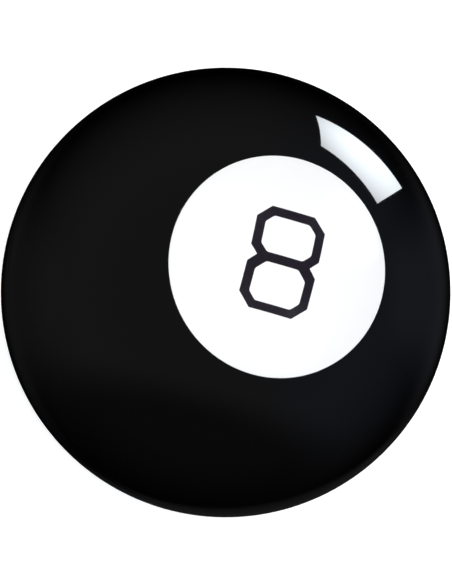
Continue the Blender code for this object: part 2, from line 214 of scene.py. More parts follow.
def moulded_black():
    """Polished black styrene: long faint waves of the mould, wiping scratches and a little dust."""
    finish = Finish("moulded_black", {"IOR": 1.5, "Metallic": 0.0})
    wiped_along = finish.hairlines(size=0.16 * MM, turn=(0.4, 0.2, 0.9))
    wiped_across = finish.hairlines(size=0.2 * MM, turn=(1.9, 0.8, 0.3))
    scratches = wiped_along + wiped_across
    dust = finish.specks(size=3.2 * MM, share=0.16)
    smear = finish.noise(size=22 * MM, detail=3.0)
    mould_wave = finish.noise(size=18 * MM, detail=0.0)
    finish.wire(finish.shader, {
        "Base Color": finish.blend(dust * 0.35, BLACK_TINT, DUST_TINT),
        "Roughness": 0.025 + smear * 0.02 + scratches * 0.03 + dust * 0.3,
        "Normal": finish.bump(mould_wave, distance=0.008 * MM),
    })
    return finish.material


def geometry_tree(name, inputs):
    """Starts a geometry node tree with named inputs, and gives its nodes and its inputs."""
    tree = bpy.data.node_groups.new(name, "GeometryNodeTree")
    tree.interface.new_socket("Geometry", in_out="INPUT", socket_type="NodeSocketGeometry")
    for label, kind in inputs:
        tree.interface.new_socket(label, in_out="INPUT", socket_type=kind)
    tree.interface.new_socket("Geometry", in_out="OUTPUT", socket_type="NodeSocketGeometry")
    nodes = Nodes(tree)
    return nodes, nodes.add("NodeGroupInput")


def close_tree(nodes, geometry, material):
    """Ends a tree: its copies are made real, and everything takes the material."""
    real = nodes.add("GeometryNodeRealizeInstances", {}, {"Geometry": geometry})["Geometry"]
    dressed = nodes.add(
        "GeometryNodeSetMaterial", {}, {"Geometry": real, "Material": material}
    )["Geometry"]
    nodes.add("NodeGroupOutput", {}, {"Geometry": dressed})
    return nodes.tree


def turning_tree():
    """Sweeps the piece's own outline round the axis. The sweep turns the outline's +Y to -Z."""
    nodes, given = geometry_tree(
        "turned_piece",
        [("Sides", "NodeSocketInt"), ("Spine", "NodeSocketFloat"), ("Material", "NodeSocketMaterial")],
    )
    outline = nodes.add("GeometryNodeMeshToCurve", {}, {"Mesh": given["Geometry"]})["Curve"]
    spine = nodes.add(
        "GeometryNodeCurvePrimitiveCircle", {"mode": "RADIUS"},
        {"Resolution": given["Sides"], "Radius": given["Spine"]},
    )["Curve"]
    swept = nodes.add(
        "GeometryNodeCurveToMesh", {}, {"Curve": spine, "Profile Curve": outline}
    )["Mesh"]
    closed = nodes.add(
        "GeometryNodeMergeByDistance", {}, {"Geometry": swept, "Distance": WELD}
    )["Geometry"]
    return close_tree(nodes, closed, given["Material"])


def ring_tree():
    """Sets copies of the piece's own mesh round the axis."""
    nodes, given = geometry_tree(
        "ring_of_copies",
        [("Count", "NodeSocketInt"), ("Turn", "NodeSocketFloat"), ("Material", "NodeSocketMaterial")],
    )
    points = nodes.add("GeometryNodePoints", {}, {"Count": given["Count"]})["Points"]
    index = nodes.add("GeometryNodeInputIndex")["Index"]
    angle = index * (2 * math.pi) / given["Count"] + given["Turn"]
    spin = nodes.add("ShaderNodeCombineXYZ", {}, {"Z": angle})["Vector"]
    copies = nodes.add(
        "GeometryNodeInstanceOnPoints", {},
        {"Points": points, "Instance": given["Geometry"], "Rotation": spin},
    )["Instances"]
    return close_tree(nodes, copies, given["Material"])


TURNING = turning_tree()
RING = ring_tree()


def new_piece(name, mesh):
    """A bmesh as a named object at the origin."""
    data = bpy.data.meshes.new(name)
    mesh.to_mesh(data)
    mesh.free()
    piece = bpy.data.objects.new(name, data)
    bpy.context.scene.collection.objects.link(piece)
    return piece


def settle(piece, crease=30):
    """Makes the piece's modifiers real, and shades it smooth between creases, its faces outwards."""
    graph = bpy.context.evaluated_depsgraph_get()
    data = bpy.data.meshes.new_from_object(piece.evaluated_get(graph), depsgraph=graph)
    piece.modifiers.clear()
    piece.data = data
    data.name = piece.name
    mesh = bmesh.new()
    mesh.from_mesh(data)
    bmesh.ops.recalc_face_normals(mesh, faces=mesh.faces)
    mesh.to_mesh(data)
    mesh.free()
    data.shade_smooth()
    data.set_sharp_from_angle(angle=math.radians(crease))
    return piece


def grow_with(piece, tree, values):
    """Adds a geometry node tree to a piece, with its inputs given by name."""
    modifier = piece.modifiers.new(tree.name, "NODES")
    modifier.node_group = tree
    for item in tree.interface.items_tree:
        if item.in_out == "INPUT" and item.name in values:
            modifier[item.identifier] = values[item.name]


def turned(name, outline, material, sides=SIDES):
    """A solid turned about +Z from (distance from the axis, height) points."""
    mesh = bmesh.new()
    points = [mesh.verts.new((distance - SPINE, -height, 0.0)) for distance, height in outline]
    on_axis = outline[0][0] == 0.0 and outline[-1][0] == 0.0
    ends = points[1:] if on_axis else points[1:] + points[:1]
    for pair in zip(points, ends):
        mesh.edges.new(pair)
    piece = new_piece(name, mesh)
    grow_with(piece, TURNING, {"Sides": sides, "Spine": SPINE, "Material": material})
    return settle(piece)


def ring_of_plates(name, outline, thickness, count, material):
    """Upright plates round the axis, each an outline given a thickness."""
    mesh = bmesh.new()
    corners = [mesh.verts.new((distance, -thickness / 2, height)) for distance, height in outline]
    face = mesh.faces.new(corners)
    sweep = bmesh.ops.extrude_face_region(mesh, geom=[face], use_keep_orig=True)
    far = [item for item in sweep["geom"] if isinstance(item, bmesh.types.BMVert)]
    bmesh.ops.translate(mesh, verts=far, vec=(0.0, thickness, 0.0))
    piece = new_piece(name, mesh)
    grow_with(piece, RING, {"Count": count, "Turn": RIB_TURN, "Material": material})
    return settle(piece)


def combine(piece, helper, operation):
    """Joins the helper to the piece or cuts it out, and removes the helper."""
    modifier = piece.modifiers.new(operation, "BOOLEAN")
    modifier.operation = operation
    modifier.object = helper
    settle(piece)
    bpy.data.objects.remove(helper)
    return piece


def off_axis(radius, height):
    """Distance from the axis of the sphere's surface at a height over the ball's centre."""
    return math.sqrt(radius**2 - height**2)


def height_at(radius, distance):
    """Height of the sphere's upper surface at a distance from the axis."""
    return CENTRE_Z + math.sqrt(radius**2 - distance**2)


def ball_arc(radius, start, end, side):
    """Outline points on a sphere about the ball's centre, between two distances from the axis."""
    first, last = math.asin(start / radius), math.asin(end / radius)
    steps = max(1, math.ceil(abs(last - first) / ARC_STEP))
    angles = [(first * (steps - step) + last * step) / steps for step in range(steps + 1)]
    return [(radius * math.sin(a), CENTRE_Z + side * radius * math.cos(a)) for a in angles]


def eased(outline, corners, radius=EDGE_EASE, steps=4):
    """The outline with each of these corners cut back and rounded."""
    points = [Vector(point) for point in outline]
    result = []
    for index, here in enumerate(points):
        if index not in corners:
            result.append(tuple(here))
            continue
        before, after = points[index - 1], points[(index + 1) % len(points)]
        start = here + (before - here).normalized() * radius
        end = here + (after - here).normalized() * radius
        for step in range(steps + 1):
            share = step / steps
            bow = start.lerp(here, share).lerp(here.lerp(end, share), share)
            result.append(tuple(bow))
    return result


def corner_of(outline, point):
    """The place in the outline of its point nearest to this one."""
    return min(range(len(outline)), key=lambda i: (Vector(outline[i]) - Vector(point)).length)


def keep(piece, body, node):
    """Sets the piece on its body, in place of its CAD node."""
    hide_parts(node)
    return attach(piece, body)


def lower_half(black):
    """The half with the standing rim, the window's opening and the socket for the reservoir."""
    mouth, chamfer, window = 20.8 * MM, 0.4 * MM, 19.2 * MM
    seat, socket, socket_outer, socket_top = 5.0 * MM, 28.3 * MM, 30.0 * MM, 11.0 * MM
    seam = CENTRE_Z - SEAM_GAP / 2
    outline = [
        *ball_arc(BALL_RADIUS, off_axis(BALL_RADIUS, SEAM_GAP / 2), RIM_RADIUS, -1),
        (mouth + chamfer, 0.0),
        (mouth, chamfer),
        (window, seat),
        (socket, seat),
        (socket, socket_top),
        (socket_outer, socket_top),
        *ball_arc(INNER_RADIUS, socket_outer, INNER_RADIUS, -1),
        (off_axis(INNER_RADIUS, LAP_HEIGHT), CENTRE_Z + LAP_HEIGHT),
        (LAP_OUTER, CENTRE_Z + LAP_HEIGHT),
        (LAP_OUTER, seam),
    ]
    rounded = [0] + [corner_of(outline, point) for point in (
        (RIM_RADIUS, 0.0), (mouth + chamfer, 0.0), (window, seat), (socket, socket_top),
        (socket_outer, socket_top),
    )]
    shell = turned("lower_half_shell", eased(outline, rounded), black)
    in_socket_wall, in_shell_wall = 29.2 * MM, BALL_RADIUS - SHELL_WALL / 2
    reach, top = 36.0 * MM, socket_top - RIB_SINK
    gusset = [(in_socket_wall, top), *ball_arc(in_shell_wall, in_socket_wall, reach, -1), (reach, top)]
    gusset_thickness = 1.6 * MM
    gussets = ring_of_plates("gussets", gusset, gusset_thickness, RIB_COUNT, black)
    return combine(shell, gussets, "UNION")


def upper_half(black):
    """The half with the disc's recess, and a ribbed collar that holds the reservoir down."""
    recess_floor = BALL_RADIUS - DISC_THICKNESS - FIT_GAP
    recess_edge = DISC_RADIUS + HAIRLINE
    backing_wall, backing_edge = 2.2 * MM, 27.0 * MM
    backing = recess_floor - backing_wall
    collar, collar_outer, collar_past_neck = 24.0 * MM, 25.5 * MM, 1.7 * MM
    collar_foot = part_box("reservoir_back_cap")[1].z - collar_past_neck + FIT_GAP
    lap_inner, lap_top = LAP_OUTER + FIT_GAP, LAP_HEIGHT + FIT_GAP
    shelf = height_at(backing, backing_edge)
    outline = [
        *ball_arc(recess_floor, 0.0, recess_edge, 1),
        *ball_arc(BALL_RADIUS, recess_edge, off_axis(BALL_RADIUS, SEAM_GAP / 2), 1),
        (lap_inner, CENTRE_Z + SEAM_GAP / 2),
        (lap_inner, CENTRE_Z + lap_top),
        *ball_arc(INNER_RADIUS, off_axis(INNER_RADIUS, lap_top), backing_edge, 1),
        (backing_edge, shelf),
        (collar_outer, shelf),
        (collar_outer, collar_foot),
        (collar, collar_foot),
        *ball_arc(backing, collar, 0.0, 1),
    ]
    rounded = [corner_of(outline, point) for point in (
        (recess_edge, height_at(BALL_RADIUS, recess_edge)),
        (off_axis(BALL_RADIUS, SEAM_GAP / 2), CENTRE_Z + SEAM_GAP / 2),
        (collar_outer, collar_foot), (collar, collar_foot),
    )]
    shell = turned("upper_half_shell", eased(outline, rounded, FINE_EASE), black)
    in_collar, in_backing = (collar + collar_outer) / 2, (recess_floor + backing) / 2
    in_shell_wall, past_backing = BALL_RADIUS - SHELL_WALL / 2, backing_edge + RIB_SINK
    rib_foot, rib_reach, rib_thickness = collar_foot + 1.0 * MM, 37.0 * MM, 1.5 * MM
    before_edge = backing_edge - 0.4 * MM
    rib = [
        (in_collar, rib_foot),
        (in_collar, height_at(in_backing, in_collar)),
        (before_edge, height_at(in_backing, before_edge)),
        *ball_arc(in_shell_wall, past_backing, rib_reach, 1),
    ]
    ribs = ring_of_plates("collar_ribs", rib, rib_thickness, RIB_COUNT, black)
    return combine(shell, ribs, "UNION")


black = moulded_black()
keep(lower_half(black), BALL, "lower_shell")
keep(upper_half(black), BALL, "upper_shell")

# ---------------------------------------------------------------------------------------------------
# The number disc. A gloss white styrene plate, curved like the ball, glued into the recess on top.
# Its edge is eased, and only a hairline shows between it and the black shell.


def moulded_white():
    """Gloss white styrene with a trace of mould flow and handling haze."""
    finish = Finish("moulded_white", {"IOR": 1.5, "Metallic": 0.0})
    haze = finish.noise(size=12 * MM, detail=4.0)
    scratches = finish.hairlines(size=0.2 * MM, turn=(0.7, 1.1, 0.2))
    flow = finish.noise(size=14 * MM, detail=1.0)
    finish.wire(finish.shader, {
        "Base Color": finish.blend(haze, (0.865, 0.86, 0.85, 1.0), (0.89, 0.885, 0.87, 1.0)),
        "Roughness": 0.12 + haze * 0.08 + scratches * 0.1,
        "Normal": finish.bump(flow, distance=0.03 * MM),
    })
    return finish.material


disc_edge = (DISC_RADIUS, height_at(BALL_RADIUS, DISC_RADIUS))
disc_outline = [
    *ball_arc(BALL_RADIUS - DISC_THICKNESS, 0.0, DISC_RADIUS, 1),
    *ball_arc(BALL_RADIUS, DISC_RADIUS, 0.0, 1),
]
disc_rim = [corner_of(disc_outline, disc_edge)]
disc = turned("white_number_disc", eased(disc_outline, disc_rim, FINE_EASE), moulded_white())
keep(disc, BALL, "number_disc")

# ---------------------------------------------------------------------------------------------------
# The figure. A plain block 8, pad printed on the disc as a thin film of dark ink, a little off its
# middle. It is two stacked loops of one stroke, with cut corners and a notch at each side of the waist.

FIGURE_HIGH_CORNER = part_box("numeral")[1]
FIGURE_WIDE = FIGURE_HIGH_CORNER.x
FIGURE_HIGH = FIGURE_HIGH_CORNER.y
STROKE = 2.1 * MM
FOOT_STROKE = 1.8 * MM
CORNER = 3.0 * MM
WAIST_DEPTH = 1.8 * MM
WAIST_RISE = 0.1 * MM
WAIST_HALF = 1.9 * MM
UPPER_WAIST_CORNER = 1.7 * MM
LOWER_WAIST_CORNER = 2.15 * MM
INK_BELOW = 0.03 * MM
INK_ABOVE = 0.03 * MM
INK_OUTER_EASE = 0.12 * MM
INK_INNER_EASE = 0.45 * MM
INK_STEP = 1.0 * MM
PRINT_OFF_RIGHT = -0.32 * MM
PRINT_OFF_UP = 0.24 * MM
PRINT_STRETCH = 1.006


def opening(waist, end, waist_corner):
    """One opening of the figure, from the waist's edge to the figure's end."""
    wide = FIGURE_WIDE - STROKE
    cut = CORNER - STROKE * (2 - math.sqrt(2))
    side = math.copysign(1.0, end - waist)
    half = [
        (wide - cut, end),
        (wide, end - side * cut),
        (wide, waist + side * waist_corner),
        (wide - waist_corner, waist),
    ]
    return half + [(-x, y) for x, y in reversed(half)]


def figure_loops():
    """The outer loop of the figure and its two openings."""
    right = [
        (FIGURE_WIDE - CORNER, FIGURE_HIGH),
        (FIGURE_WIDE, FIGURE_HIGH - CORNER),
        (FIGURE_WIDE, WAIST_RISE + WAIST_HALF),
        (FIGURE_WIDE - WAIST_DEPTH, WAIST_RISE),
        (FIGURE_WIDE, WAIST_RISE - WAIST_HALF),
        (FIGURE_WIDE, CORNER - FIGURE_HIGH),
        (FIGURE_WIDE - CORNER, -FIGURE_HIGH),
    ]
    outer = right + [(-x, y) for x, y in reversed(right)]
    upper = opening(WAIST_RISE + STROKE / 2, FIGURE_HIGH - STROKE, UPPER_WAIST_CORNER)
    lower = opening(WAIST_RISE - STROKE / 2, FOOT_STROKE - FIGURE_HIGH, LOWER_WAIST_CORNER)
    return outer, upper, lower


def stepped(loop, longest):
    """The loop with its long edges divided, so that it follows the ball's curve."""
    points = []
    for start, end in zip(loop, loop[1:] + loop[:1]):
        start, end = Vector(start), Vector(end)
        steps = max(1, math.ceil((end - start).length / longest))
        points += [start.lerp(end, step / steps) for step in range(steps)]
    return points


def printed_ink():
    """Dense violet-black pad print, a little uneven where it was pressed on."""
    finish = Finish("printed_ink", {"IOR": 1.45, "Metallic": 0.0})
    cover = finish.noise(size=1.2 * MM, detail=3.0)
    finish.wire(finish.shader, {
        "Base Color": finish.blend(cover, (0.0075, 0.005, 0.009, 1.0), (0.013, 0.009, 0.016, 1.0)),
        "Roughness": 0.16 + cover * 0.08,
        "Normal": finish.bump(cover, distance=0.003 * MM),
    })
    return finish.material


def figure_film(ink):
    """The loops filled, stretched and shifted as printed, and laid on the ball as a thin solid."""
    mesh = bmesh.new()
    edges = []
    for loop, ease in zip(figure_loops(), (INK_OUTER_EASE, INK_INNER_EASE, INK_INNER_EASE)):
        soft = eased(loop, range(len(loop)), ease)
        points = [mesh.verts.new((*point, 0.0)) for point in stepped(soft, INK_STEP)]
        edges += [mesh.edges.new(pair) for pair in zip(points, points[1:] + points[:1])]
    bmesh.ops.triangle_fill(mesh, use_beauty=True, edges=edges)
    bmesh.ops.scale(mesh, verts=mesh.verts, vec=(1.0, PRINT_STRETCH, 1.0))
    bmesh.ops.translate(mesh, verts=mesh.verts, vec=(PRINT_OFF_RIGHT, PRINT_OFF_UP, 0.0))
    under = mesh.verts[:]
    sweep = bmesh.ops.extrude_face_region(mesh, geom=mesh.faces[:], use_keep_orig=True)
    over = [item for item in sweep["geom"] if isinstance(item, bmesh.types.BMVert)]
    for points, radius in ((under, BALL_RADIUS - INK_BELOW), (over, BALL_RADIUS + INK_ABOVE)):
        for point in points:
            point.co.z = height_at(radius, point.co.xy.length)
    film = new_piece("figure_eight", mesh)
    film.data.materials.append(ink)
    return settle(film)


keep(figure_film(printed_ink()), BALL, "numeral")

# ---------------------------------------------------------------------------------------------------
# The window. A clear acrylic disc, seated in the lower half's socket and glued to the reservoir's
# mouth. The ball is turned over to look through it.

LENS_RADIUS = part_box("window_lens")[1].x
LENS_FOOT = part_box("window_lens")[0].z
LENS_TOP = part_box("window_lens")[1].z


def clear_acrylic():
    """Polished acrylic, with a few wiping marks."""
    finish = Finish("clear_acrylic", {"IOR": 1.49, "Metallic": 0.0, "Transmission Weight": 1.0})
    marks = finish.hairlines(size=0.2 * MM, turn=(0.1, 0.3, 0.5))
    haze = finish.noise(size=9 * MM, detail=2.0)
    finish.wire(finish.shader, {
        "Base Color": finish.blend(haze, (0.93, 0.96, 0.98, 1.0), (0.97, 0.985, 0.99, 1.0)),
        "Roughness": 0.01 + marks * 0.15 + haze * 0.01,
    })
    return finish.material


lens_outline = [(0.0, LENS_FOOT), (LENS_RADIUS, LENS_FOOT), (LENS_RADIUS, LENS_TOP), (0.0, LENS_TOP)]
window = turned("clear_window", eased(lens_outline, [1, 2], radius=0.4 * MM), clear_acrylic())
keep(window, BALL, "window_lens")

# ---------------------------------------------------------------------------------------------------
# The reservoir. A cup of milky moulded plastic with a flanged mouth. Its back cap is welded on after
# the funnel goes in, and has the neck that the liquid is poured through.

TUBE_RADIUS = 26.5 * MM
TUBE_WALL = 1.5 * MM
BORE = TUBE_RADIUS - TUBE_WALL
TUBE_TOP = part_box("reservoir_tube")[1].z
CAP_FOOT = TUBE_TOP + FIT_GAP
CAP_WALL = 2.0 * MM
CAP_TOP = CAP_FOOT + CAP_WALL
FILLER_HOLE = 4.3 * MM


def milky_plastic():
    """Natural blue-white polyethylene, with faint swirls where it flowed into the mould."""
    finish = Finish("milky_plastic", {"IOR": 1.5, "Metallic": 0.0, "Transmission Weight": 0.25})
    swirls = finish.noise(size=6 * MM, detail=4.0, stretch=(1.0, 1.0, 3.0))
    grain = finish.noise(size=0.6 * MM, detail=2.0)
    finish.wire(finish.shader, {
        "Base Color": finish.blend(swirls, (0.50, 0.56, 0.65, 1.0), (0.60, 0.66, 0.72, 1.0)),
        "Roughness": 0.28 + swirls * 0.12,
        "Normal": finish.bump(grain, distance=0.004 * MM),
    })
    return finish.material


milky = milky_plastic()
mouth, mouth_top, flange_fade = 28.0 * MM, 10.3 * MM, 12.0 * MM
counterbore, shoulder = 26.0 * MM, 10.1 * MM
cup = turned("reservoir_cup", eased([
    (mouth, LENS_FOOT),
    (mouth, mouth_top),
    (TUBE_RADIUS, flange_fade),
    (TUBE_RADIUS, TUBE_TOP),
    (BORE, TUBE_TOP),
    (BORE, shoulder),
    (counterbore, shoulder),
    (counterbore, LENS_FOOT),
], range(8)), milky)
keep(cup, BALL, "reservoir_tube")

spigot, spigot_wall, spigot_depth = BORE - FIT_GAP, 2.0 * MM, 3.0 * MM
neck, neck_top = 7.2 * MM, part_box("reservoir_back_cap")[1].z
cap = turned("reservoir_end_cap", eased([
    (FILLER_HOLE, CAP_FOOT),
    (spigot - spigot_wall, CAP_FOOT),
    (spigot - spigot_wall, CAP_FOOT - spigot_depth),
    (spigot, CAP_FOOT - spigot_depth),
    (spigot, CAP_FOOT),
    (TUBE_RADIUS, CAP_FOOT),
    (TUBE_RADIUS, CAP_TOP),
    (neck, CAP_TOP),
    (neck, neck_top),
    (FILLER_HOLE, neck_top),
], [2, 3, 5, 6, 8, 9]), milky)
keep(cap, BALL, "reservoir_back_cap")

# ---------------------------------------------------------------------------------------------------
# The bubble funnel. A thin cone in the reservoir round the die. Air drifts through its throat to the
# back while the ball is turned over, so that no bubble shows behind the window.

FUNNEL_RADIUS = 22.0 * MM
FUNNEL_WALL = 1.2 * MM
SKIRT_TOP = 40.0 * MM
THROAT = 3.0 * MM
THROAT_FOOT = 54.0 * MM
NECK_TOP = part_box("bubble_funnel")[1].z
FLANGE_FOOT = LENS_TOP + FIT_GAP
FLANGE_THICKNESS = 1.8 * MM
FLANGE_TOP = FLANGE_FOOT + FLANGE_THICKNESS


def cone_height(distance, offset):
    """Height of the funnel's inner cone, or of a cone parallel to it and this far behind it."""
    slope = (THROAT_FOOT - SKIRT_TOP) / (FUNNEL_RADIUS - THROAT)
    return THROAT_FOOT - slope * (distance - THROAT) + offset * math.hypot(1, slope)


skirt_outer, throat_outer = FUNNEL_RADIUS + FUNNEL_WALL, THROAT + FUNNEL_WALL
funnel = turned("bubble_trap_funnel", eased([
    (FUNNEL_RADIUS, FLANGE_FOOT),
    (LENS_RADIUS, FLANGE_FOOT),
    (LENS_RADIUS, FLANGE_TOP),
    (skirt_outer, FLANGE_TOP),
    (skirt_outer, cone_height(skirt_outer, FUNNEL_WALL)),
    (throat_outer, cone_height(throat_outer, FUNNEL_WALL)),
    (throat_outer, NECK_TOP),
    (THROAT, NECK_TOP),
    (THROAT, THROAT_FOOT),
    (FUNNEL_RADIUS, SKIRT_TOP),
], range(10), radius=0.3 * MM), milky)
keep(funnel, BALL, "bubble_funnel")

# ---------------------------------------------------------------------------------------------------
# The filler plug and its washer. The plug is pressed into the cap's neck after filling, and squeezes
# a flat black rubber washer.

PLUG_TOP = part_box("filler_plug")[1].z
PLUG_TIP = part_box("filler_plug")[0].z
HEAD_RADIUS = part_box("filler_plug")[1].x
SEAL_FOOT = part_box("plug_seal")[0].z
SEAL_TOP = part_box("plug_seal")[1].z
SMALL_SIDES = 96


def washer_rubber():
    """Matt black rubber with a fine cut surface and a little bloom."""
    finish = Finish("washer_rubber", {"IOR": 1.5, "Metallic": 0.0})
    bloom = finish.noise(size=1.5 * MM, detail=3.0)
    cut_surface = finish.noise(size=0.2 * MM, detail=2.0)
    finish.wire(finish.shader, {
        "Base Color": finish.blend(bloom, (0.012, 0.012, 0.013, 1.0), (0.035, 0.035, 0.034, 1.0)),
        "Roughness": 0.6 + bloom * 0.2,
        "Normal": finish.bump(cut_surface, distance=0.01 * MM),
    })
    return finish.material


shank, tip, taper = FILLER_HOLE - FIT_GAP, 3.4 * MM, 1.5 * MM
plug = turned("filler_stopper", eased([
    (0.0, PLUG_TIP),
    (tip, PLUG_TIP),
    (shank, PLUG_TIP + taper),
    (shank, SEAL_TOP + FIT_GAP),
    (HEAD_RADIUS, SEAL_TOP + FIT_GAP),
    (HEAD_RADIUS, PLUG_TOP),
    (0.0, PLUG_TOP),
], [1, 2, 4, 5], radius=0.3 * MM), milky, SMALL_SIDES)
keep(plug, BALL, "filler_plug")

seal = turned("stopper_washer", eased([
    (FILLER_HOLE, SEAL_FOOT),
    (HEAD_RADIUS, SEAL_FOOT),
    (HEAD_RADIUS, SEAL_TOP),
    (FILLER_HOLE, SEAL_TOP),
], range(4), radius=0.2 * MM), washer_rubber(), SMALL_SIDES)
keep(seal, BALL, "plug_seal")

# ---------------------------------------------------------------------------------------------------
# The die. A hollow twenty-sided solid of white plastic, glued from two cups of ten faces along a
# zigzag of edges. Each face has a flood hole and a raised answer mark: a ring, a cross or two bars.

DIE = "die"
DIE_EDGE = 21.0 * MM
DIE_WALL = 1.2 * MM
DIE_CLEARANCE = 0.5 * MM
GLUE_LINE = 0.08 * MM
DIE_BEVEL = 0.3 * MM
FLOOD_HOLE = 0.9 * MM
HOLE_TOOL_STRETCH = 8
MARK_HEIGHT = 0.3 * MM
MARK_ROOT = 0.3 * MM
MARKS_TURN = 4
GOLDEN = (1 + math.sqrt(5)) / 2
DIE_CORNER_RADIUS = DIE_EDGE * math.sqrt(GOLDEN * math.sqrt(5)) / 2
DIE_FACE_RADIUS = DIE_EDGE * GOLDEN**2 / (2 * math.sqrt(3))
DIE_CENTRE = Vector((0.0, 0.0, LENS_TOP + DIE_CLEARANCE + DIE_FACE_RADIUS))


def die_plastic():
    """Satin white plastic that the dye has tinted a little."""
    finish = Finish("die_plastic", {"IOR": 1.5, "Metallic": 0.0})
    stain = finish.noise(size=5 * MM, detail=4.0)
    grain = finish.noise(size=0.5 * MM, detail=2.0)
    finish.wire(finish.shader, {
        "Base Color": finish.blend(stain, (0.80, 0.83, 0.88, 1.0), (0.89, 0.90, 0.91, 1.0)),
        "Roughness": 0.33 + stain * 0.15,
        "Normal": finish.bump(grain, distance=0.004 * MM),
    })
    return finish.material


def icosahedron(corner_radius):
    """A twenty-sided solid about the origin, and the turn that sets one of its faces down."""
    mesh = bmesh.new()
    bmesh.ops.create_icosphere(mesh, subdivisions=1, radius=corner_radius)
    lowest = min(mesh.faces, key=lambda face: (round(face.normal.z, 3), round(face.normal.x, 3)))
    corner = max((point.co.copy() for point in lowest.verts), key=lambda point: point.z)
    turn = lowest.normal.rotation_difference(Vector((0, 0, -1))).to_matrix()
    corner.rotate(turn)
    turn = Matrix.Rotation(math.pi / 2 - math.atan2(corner.y, corner.x), 3, "Z") @ turn
    return mesh, turn


def of_half(face, side):
    """Whether most of the face's corners are on this side, before the solid is turned."""
    return sum(side * point.co.z > 0 for point in face.verts) >= 2


def marking_tree():
    """Sets a copy of another mesh on each point of the piece, turned as the point's attribute says."""
    nodes, given = geometry_tree(
        "marks_on_faces", [("Mark", "NodeSocketObject"), ("Material", "NodeSocketMaterial")]
    )
    mark = nodes.add("GeometryNodeObjectInfo", {}, {"Object": given["Mark"]})["Geometry"]
    facing = nodes.add(
        "GeometryNodeInputNamedAttribute", {"data_type": "FLOAT_VECTOR"}, {"Name": "facing"}
    )["Attribute"]
    points = nodes.add(
        "GeometryNodeMeshToPoints", {"mode": "VERTICES"}, {"Mesh": given["Geometry"]}
    )["Points"]
    copies = nodes.add(
        "GeometryNodeInstanceOnPoints", {}, {"Points": points, "Instance": mark, "Rotation": facing}
    )["Instances"]
    return close_tree(nodes, copies, given["Material"])


MARKING = marking_tree()


def face_places(side, chosen):
    """The middle and the turn of the chosen faces of one half, counted round its five-fold axis."""
    mesh, turn = icosahedron(DIE_CORNER_RADIUS)
    faces = [face for face in mesh.faces if of_half(face, side)]
    faces.sort(key=lambda face: round(math.atan2(face.normal.y, face.normal.x), 3))
    places = []
    for index, face in enumerate(faces):
        if index % MARKS_TURN not in chosen:
            continue
        normal = turn @ face.normal
        corner = turn @ max((point.co for point in face.verts), key=lambda co: round(co.z, 4))
        up = (corner - normal * corner.dot(normal)).normalized()
        facing = Matrix((up.cross(normal), up, normal)).transposed()
        places.append((normal * DIE_FACE_RADIUS, facing.to_euler()))
    mesh.free()
    return places


def marks(name, shape, places, plastic):
    """A solid with one copy of the shape at each place."""
    mesh = bmesh.new()
    for middle, _ in places:
        mesh.verts.new(middle)
    piece = new_piece(name, mesh)
    facing = piece.data.attributes.new("facing", "FLOAT_VECTOR", "POINT")
    for item, (_, turn) in zip(facing.data, places):
        item.vector = turn
    grow_with(piece, MARKING, {"Mark": shape, "Material": plastic})
    return settle(piece)


def upright(name, loops):
    """Flat loops about the origin, made solid from below the face to the marks' height."""
    mesh = bmesh.new()
    edges = []
    for loop in loops:
        points = [mesh.verts.new((*point, -MARK_ROOT)) for point in loop]
        edges += [mesh.edges.new(pair) for pair in zip(points, points[1:] + points[:1])]
    bmesh.ops.triangle_fill(mesh, use_beauty=True, edges=edges)
    sweep = bmesh.ops.extrude_face_region(mesh, geom=mesh.faces[:], use_keep_orig=True)
    top = [item for item in sweep["geom"] if isinstance(item, bmesh.types.BMVert)]
    bmesh.ops.translate(mesh, verts=top, vec=(0.0, 0.0, MARK_ROOT + MARK_HEIGHT))
    bmesh.ops.recalc_face_normals(mesh, faces=mesh.faces)
    return new_piece(name, mesh)


def circle(radius, sides=48):
    angles = [2 * math.pi * index / sides for index in range(sides)]
    return [(radius * math.cos(angle), radius * math.sin(angle)) for angle in angles]


def bar(wide, high, at):
    return [(at + x * wide / 2, y * high / 2) for x, y in ((-1, -1), (1, -1), (1, 1), (-1, 1))]


def swung(loop, turn):
    """The loop turned about the origin."""
    c, s = math.cos(turn), math.sin(turn)
    return [(x * c - y * s, x * s + y * c) for x, y in loop]


def cross(reach, wide):
    """A diagonal cross with four equal arms, as one loop."""
    half = wide / 2
    arm = [(half, half), (half, reach), (-half, reach)]
    return [point for quarter in range(4) for point in swung(arm, math.pi / 4 + quarter * math.pi / 2)]


def die_cup(name, side, plastic):
    """Ten faces with an inner wall and softened edges."""
    mesh, turn = icosahedron(DIE_CORNER_RADIUS)
    other = [face for face in mesh.faces if not of_half(face, side)]
    bmesh.ops.delete(mesh, geom=other, context="FACES")
    sweep = bmesh.ops.extrude_face_region(mesh, geom=mesh.faces[:], use_keep_orig=True)
    inner = [item for item in sweep["geom"] if isinstance(item, bmesh.types.BMVert)]
    bmesh.ops.scale(mesh, verts=inner, vec=(1 - DIE_WALL / DIE_FACE_RADIUS,) * 3)
    bmesh.ops.translate(mesh, verts=mesh.verts, vec=(0, 0, side * GLUE_LINE / 2))
    bmesh.ops.rotate(mesh, verts=mesh.verts, matrix=turn)
    bmesh.ops.recalc_face_normals(mesh, faces=mesh.faces)
    cup = new_piece(name, mesh)
    cup.data.materials.append(plastic)
    bevel = cup.modifiers.new("softened", "BEVEL")
    bevel.width = DIE_BEVEL
    bevel.segments = 3
    bevel.limit_method = "ANGLE"
    return settle(cup)


def move(piece, by):
    piece.data.transform(Matrix.Translation(by))
    return piece


